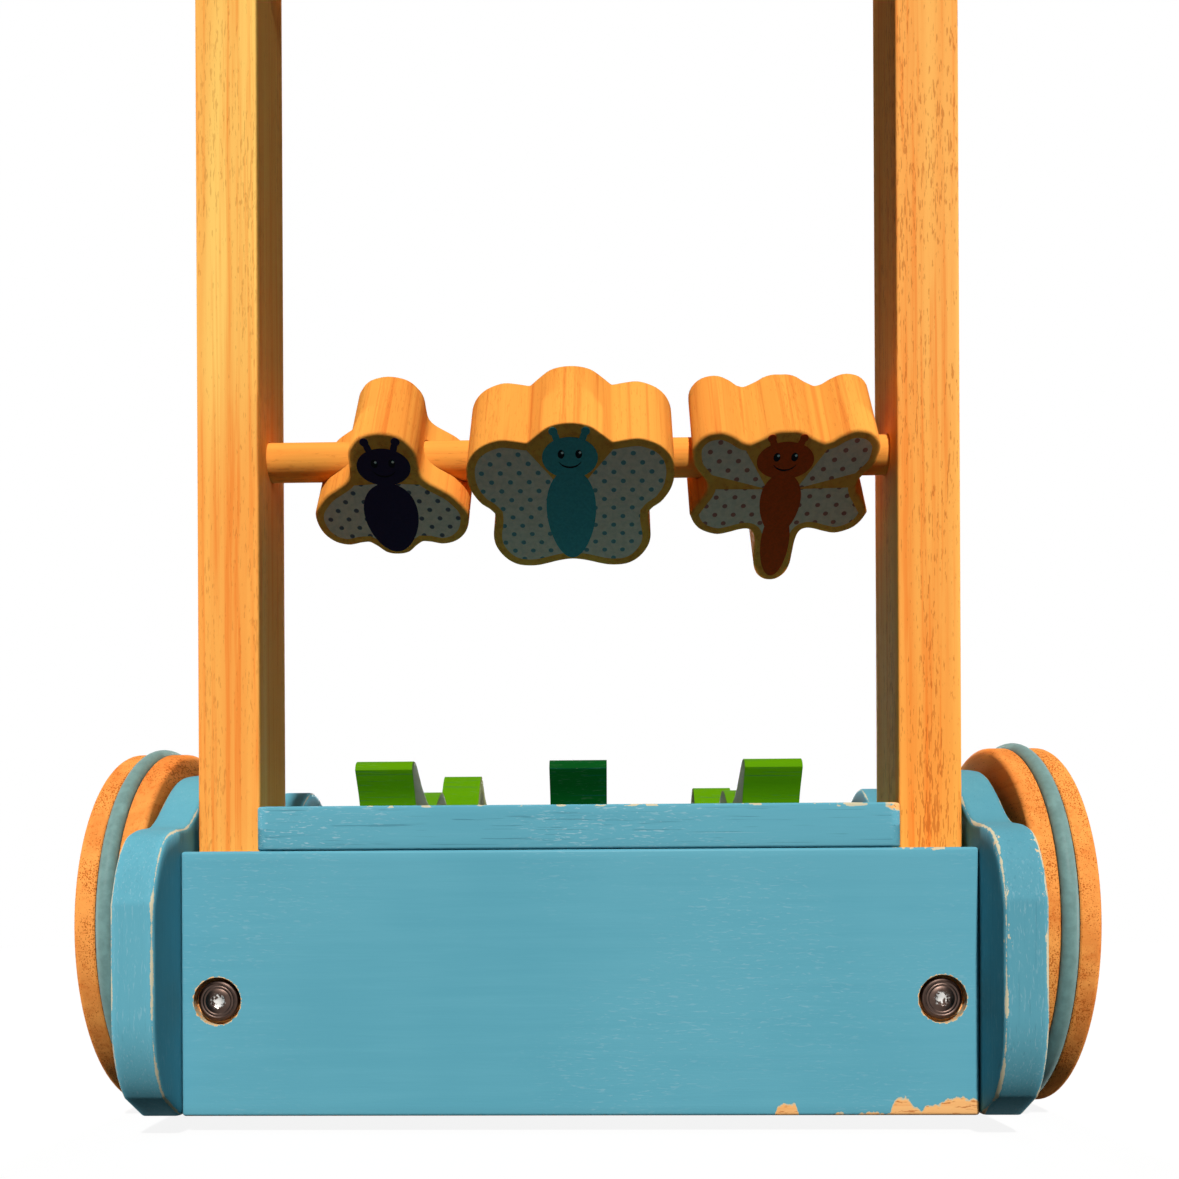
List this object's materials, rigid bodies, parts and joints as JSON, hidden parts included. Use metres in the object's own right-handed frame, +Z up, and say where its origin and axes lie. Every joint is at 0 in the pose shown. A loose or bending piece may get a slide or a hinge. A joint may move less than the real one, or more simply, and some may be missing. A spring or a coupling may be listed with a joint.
{
  "type": "toddler push toy",
  "caption": "Wooden push toy on four wheels, with chomping alligators moved by cams on the front axle and insects that spin on a rod below the push bar.",
  "frame": {"origin": "on the floor under the middle of the toy", "axes": "+Y is the way the toy is pushed, +Z is up, +X is the child's right"},
  "size_m": [0.3916, 0.4129, 0.492],
  "materials": {
    "blue_paint": "satin",
    "plain_wood": "satin",
    "lime_paint": "gloss",
    "green_paint": "gloss",
    "tyre_rubber": "matte",
    "dark_steel": "polished",
    "bright_steel": "satin",
    "bush_nylon": "matte"
  },
  "bodies": {
    "base": {"back_panel": "blue_paint", "front_panel": "blue_paint", "deck_board": "blue_paint", "side_panel_left": "blue_paint", "side_panel_right": "blue_paint", "upright_left": "plain_wood", "upright_right": "plain_wood", "push_bar": "plain_wood", "spinner_rod": "plain_wood", "axle_bush_rear_left": "bush_nylon", "axle_bush_rear_right": "bush_nylon", "axle_bush_front_left": "bush_nylon", "axle_bush_front_right": "bush_nylon", "panel_bolt_left": "dark_steel", "panel_bolt_right": "dark_steel", "barrel_nut_left": "dark_steel", "barrel_nut_right": "dark_steel", "bar_bolt_left": "dark_steel", "bar_bolt_right": "dark_steel", "dowel_back_left_low": "plain_wood", "dowel_back_left_high": "plain_wood", "dowel_back_right_low": "plain_wood", "dowel_back_right_high": "plain_wood", "dowel_front_left_low": "plain_wood", "dowel_front_left_high": "plain_wood", "dowel_front_right_low": "plain_wood", "dowel_front_right_high": "plain_wood", "gator_body_left": "lime_paint", "gator_body_middle": "green_paint", "gator_body_right": "lime_paint", "jaw_pivot_rod": "bright_steel"},
    "rear_wheels": {"rear_axle": "bright_steel", "wheel_rear_left": "plain_wood", "wheel_rear_right": "plain_wood", "tyre_rear_left": "tyre_rubber", "tyre_rear_right": "tyre_rubber", "axle_cap_rear_left": "bright_steel", "axle_cap_rear_right": "bright_steel"},
    "front_wheels": {"front_axle": "bright_steel", "wheel_front_left": "plain_wood", "wheel_front_right": "plain_wood", "tyre_front_left": "tyre_rubber", "tyre_front_right": "tyre_rubber", "axle_cap_front_left": "bright_steel", "axle_cap_front_right": "bright_steel", "cam_left": "plain_wood", "cam_middle": "plain_wood", "cam_right": "plain_wood"},
    "bee": {"bee_spinner": "plain_wood"},
    "butterfly": {"butterfly_spinner": "plain_wood"},
    "dragonfly": {"dragonfly_spinner": "plain_wood"},
    "jaw_left": {"gator_jaw_left": "lime_paint"},
    "jaw_middle": {"gator_jaw_middle": "green_paint"},
    "jaw_right": {"gator_jaw_right": "lime_paint"}
  },
  "joints": [
    {"name": "rear_axle_spin", "type": "hinge", "parent": "base", "child": "rear_wheels", "pos_m": [0, -0.1035, 0.07801], "axis": [1, 0, 0], "continuous": true},
    {"name": "front_axle_spin", "type": "hinge", "parent": "base", "child": "front_wheels", "pos_m": [0, 0.0615, 0.07801], "axis": [1, 0, 0], "continuous": true},
    {"name": "bee_spin", "type": "hinge", "parent": "base", "child": "bee", "pos_m": [-0.0749, -0.1432, 0.2671], "axis": [1, 0, 0], "continuous": true},
    {"name": "butterfly_spin", "type": "hinge", "parent": "base", "child": "butterfly", "pos_m": [-0.0022, -0.1432, 0.2671], "axis": [1, 0, 0], "continuous": true},
    {"name": "dragonfly_spin", "type": "hinge", "parent": "base", "child": "dragonfly", "pos_m": [0.081, -0.1432, 0.2671], "axis": [1, 0, 0], "continuous": true},
    {"name": "jaw_left_hinge", "type": "hinge", "parent": "base", "child": "jaw_left", "pos_m": [-0.078, 0.0215, 0.1342], "axis": [1, 0, 0], "range_deg": [-6.45, 0.05]},
    {"name": "jaw_middle_hinge", "type": "hinge", "parent": "base", "child": "jaw_middle", "pos_m": [0, 0.0215, 0.1342], "axis": [1, 0, 0], "range_deg": [-1.15, 5.35]},
    {"name": "jaw_right_hinge", "type": "hinge", "parent": "base", "child": "jaw_right", "pos_m": [0.078, 0.0215, 0.1342], "axis": [1, 0, 0], "range_deg": [-2.15, 4.35]}
  ]
}
